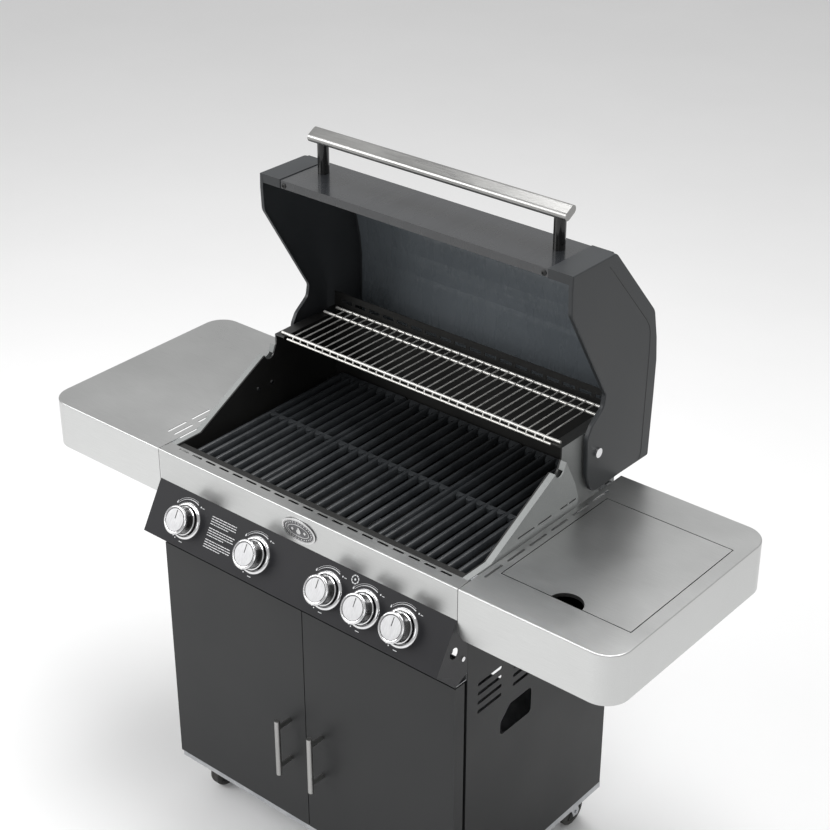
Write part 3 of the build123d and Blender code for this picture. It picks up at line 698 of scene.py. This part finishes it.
def make_rack(looks):
    """The warming rack of welded wire: three rails, a lower front rail and bent cross wires."""
    low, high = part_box("warming_rack")
    z = high[2] - RACK_RAIL_RADIUS
    front, back = low[1] + 7 * MM, high[1] - 3 * MM
    lower_z = low[2] + 2.5 * MM
    mesh = bmesh.new()
    for y, reach in ((front, 364), (back - 32 * MM, 364), (back, 356)):
        tube(mesh, [(-reach * MM, y, z), (reach * MM, y, z)], RACK_RAIL_RADIUS, 14)
    lower_y = low[1] + 2.6 * MM
    tube(mesh, [(-345 * MM, lower_y, lower_z), (345 * MM, lower_y, lower_z)], LOWER_RAIL_RADIUS, 12)
    for i in range(RACK_WIRES):
        x = RACK_PITCH * (i - (RACK_WIRES - 1) / 2)
        bend = [(x, lower_y + 1.6 * MM, lower_z - 0.6 * MM), (x, lower_y - 0.9 * MM, lower_z + 1.8 * MM),
                (x, lower_y + 0.4 * MM, z - 1.5 * MM), (x, front + 1.5 * MM, z + 1.4 * MM)]
        tube(mesh, bend + [(x, front + 10 * MM, z + 1.4 * MM), (x, back, z + 1.2 * MM)], RACK_WIRE_RADIUS, 10)
    piece = finish_piece(mesh, "rack_wires", looks["wire"], "rack")
    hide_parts("warming_rack")


# ---------------------------------------------------------------- fasteners and trim
def screw_head(mesh, centre, outward, radius, rise):
    """A domed screw head with a round recess."""
    matrix = axes_at(centre, Vector(outward).orthogonal(), outward)
    profile = [(0, rise * 0.45), (radius * 0.36, rise * 0.45), (radius * 0.42, rise * 0.98),
               (radius * 0.7, rise * 0.86), (radius * 0.93, rise * 0.5), (radius, 0.0), (0, -0.2 * MM)]
    lathe(mesh, profile[::-1], matrix, 28)


def box_centre(node):
    """The middle of a node's box."""
    low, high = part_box(node)
    return (Vector(low) + Vector(high)) / 2


def make_screws(looks):
    """The two domed screw heads on the lid's front fold."""
    mesh = bmesh.new()
    low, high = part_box("lid_screws")
    z = (low[2] + high[2]) / 2
    for x in (low[0] + LID_SCREW_RADIUS, high[0] - LID_SCREW_RADIUS):
        screw_head(mesh, (x, high[1], z), (0, -1, 0), LID_SCREW_RADIUS, high[1] - low[1])
    piece = finish_piece(mesh, "lid_screw_heads", looks["ink_and_painted_shade"], "lid")
    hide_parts("lid_screws")


def make_cap_crease_shadow(looks):
    """A thin bead down each end cap along its pressed step, near its rear edge, coloured dark as a painted
    shadow of the crease.
    """
    hinge = Vector(JOINTS["lid_hinge"]["pos_m"])
    cap_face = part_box("lid_right_cap")[1][0]
    for side, name in ((-1, "left"), (1, "right")):
        mesh = bmesh.new()
        x = side * (cap_face - 0.35 * MM)
        # The bead's dark colour is painted shade: the crease's shadow, not a dark part.
        tube(mesh, [(x, hinge.y + y * MM, hinge.z + z * MM) for y, z in CAP_LINE], 0.9 * MM, 8)
        finish_piece(mesh, f"cap_crease_shadow_{name}", looks["ink_and_painted_shade"], "lid")


# ---------------------------------------------------------------- casters
def make_wheels(looks):
    """Wheels with a grooved tread, a dished hub and ribs for spokes."""
    half = WHEEL_HALF_WIDTH
    for corner in CORNERS:
        centre = box_centre("caster_wheel_" + corner)
        matrix = axes_at(centre, (0, 1, 0), (1, 0, 0))
        profile = [(4.05, -half), (11, -half), (11.6, -half + 2.6), (26, -half + 3), (27.4, -half + 0.6),
                   (33, -half), (36.4, -half + 1.6), (37.5, -half + 4.5), (37.5, -2.2), (36.6, -1.6),
                   (36.6, 1.6), (37.5, 2.2), (37.5, half - 4.5), (36.4, half - 1.6), (33, half),
                   (27.4, half - 0.6), (26, half - 3), (11.6, half - 2.6), (11, half), (4.05, half)]
        mesh = bmesh.new()
        lathe(mesh, [(r * MM, h * MM) for r, h in profile], matrix, 72)
        for i in range(6):
            turned = matrix @ Matrix.Rotation(math.radians(60 * i), 4, "Z")
            slab(mesh, strip(10.5 * MM, 26.5 * MM, -1.2 * MM, 1.2 * MM), -11 * MM, 11 * MM, turned)
        piece = finish_piece(mesh, f"wheel_{corner}_moulded", looks["rubber"], "wheel_" + corner)
        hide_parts("caster_wheel_" + corner)


# ---------------------------------------------------------------- CAD nodes' finishes
def dress_nodes(looks):
    """Give every CAD node its material, and rounded edges where light catches them."""
    finishes = {
        "table": ["left_side_table", "right_side_table", "side_burner_cover"],
        "fascia": ["front_fascia"],
        "handle": ["lid_handle_bar", "left_door_handle", "right_door_handle"],
        "panel": ["control_panel"],
        "door": ["left_door", "right_door", "cabinet_left_panel", "cabinet_right_panel"],
        "cap": ["lid_left_cap", "lid_right_cap"],
        "shell": ["lid_shell"],
        "side": ["firebox_left_side", "firebox_right_side"],
        "tub": ["firebox_tub", "side_burner_bowl", "flame_tamers"],
        "post": ["lid_handle_posts"],
        "iron": ["side_burner_grid"],
        "chrome": ["lid_hinge_bolts", "cabinet_screws", "door_hinge_pins"],
        "brass": ["valve_bodies", "side_burner_head"],
        "ceramic": ["igniters"],
        "zinc": ["cabinet_back_panel", "cabinet_base", "cabinet_front_rail", "table_brackets",
                 "grease_tray", "main_burners", "gas_manifold"],
    }
    for number in range(1, 6):
        finishes["zinc"].append(f"valve_stem_{number}")
    for corner in CORNERS:
        finishes["zinc"].append("caster_fork_" + corner)
    for look, names in finishes.items():
        for name in names:
            node = NODES[name]
            node.data.materials.clear()
            node.data.materials.append(looks[look])
    bevels = {"lid_left_cap": 0.55, "lid_right_cap": 0.55, "lid_handle_bar": 1.0, "left_side_table": 0.4,
              "right_side_table": 0.4, "side_burner_cover": 0.4, "front_fascia": 0.4,
              "control_panel": 0.5, "left_door": 0.5, "right_door": 0.5, "lid_shell": 0.5,
              "firebox_left_side": 0.5, "firebox_right_side": 0.5, "lid_hinge_bolts": 1.0}
    for name, width in bevels.items():
        bevelled(NODES[name], width * MM)


# ---------------------------------------------------------------- studio
def area_light(name, location, target, size, power):
    """A soft area light aimed at a point."""
    data = bpy.data.lights.new(name, "AREA")
    data.shape = "RECTANGLE"
    data.size, data.size_y = size
    data.energy = power
    light = bpy.data.objects.new(name, data)
    light.location = location
    light.rotation_euler = (Vector(target) - Vector(location)).to_track_quat("-Z", "Y").to_euler()
    bpy.context.collection.objects.link(light)


def make_studio(looks):
    """A pale floor, a white surround and soft lights."""
    mesh = bmesh.new()
    slab(mesh, strip(-30, 30, -30, 30), -0.02, 0.0)
    data = bpy.data.meshes.new("floor")
    mesh.to_mesh(data)
    mesh.free()
    floor = bpy.data.objects.new("floor", data)
    data.materials.append(looks["floor"])
    bpy.context.collection.objects.link(floor)
    world = bpy.data.worlds.new("studio")
    bpy.context.scene.world = world
    world.use_nodes = True
    background = world.node_tree.nodes["Background"]
    background.inputs["Color"].default_value = (1.0, 1.0, 1.0, 1.0)
    background.inputs["Strength"].default_value = 0.55
    bpy.context.scene.view_settings.view_transform = "Standard"
    area_light("key", (-2.6, -2.8, 3.2), (0, 0, 0.9), (2.4, 2.4), 85)
    area_light("top", (0.2, 0.5, 4.2), (0, 0, 0.8), (3.0, 2.0), 110)
    area_light("front", (1.6, -3.4, 2.2), (0, 0, 0.8), (1.6, 1.6), 10)


# ---------------------------------------------------------------- the whole scene
def main():
    make_camera()
    looks = make_materials()
    dress_nodes(looks)
    for number in range(1, 6):
        make_knob(number, looks)
    make_bezels(looks)
    make_prints(looks)
    make_badge(looks)
    make_grates(looks)
    make_rack(looks)
    make_screws(looks)
    make_cap_crease_shadow(looks)
    make_wheels(looks)
    make_studio(looks)


main()
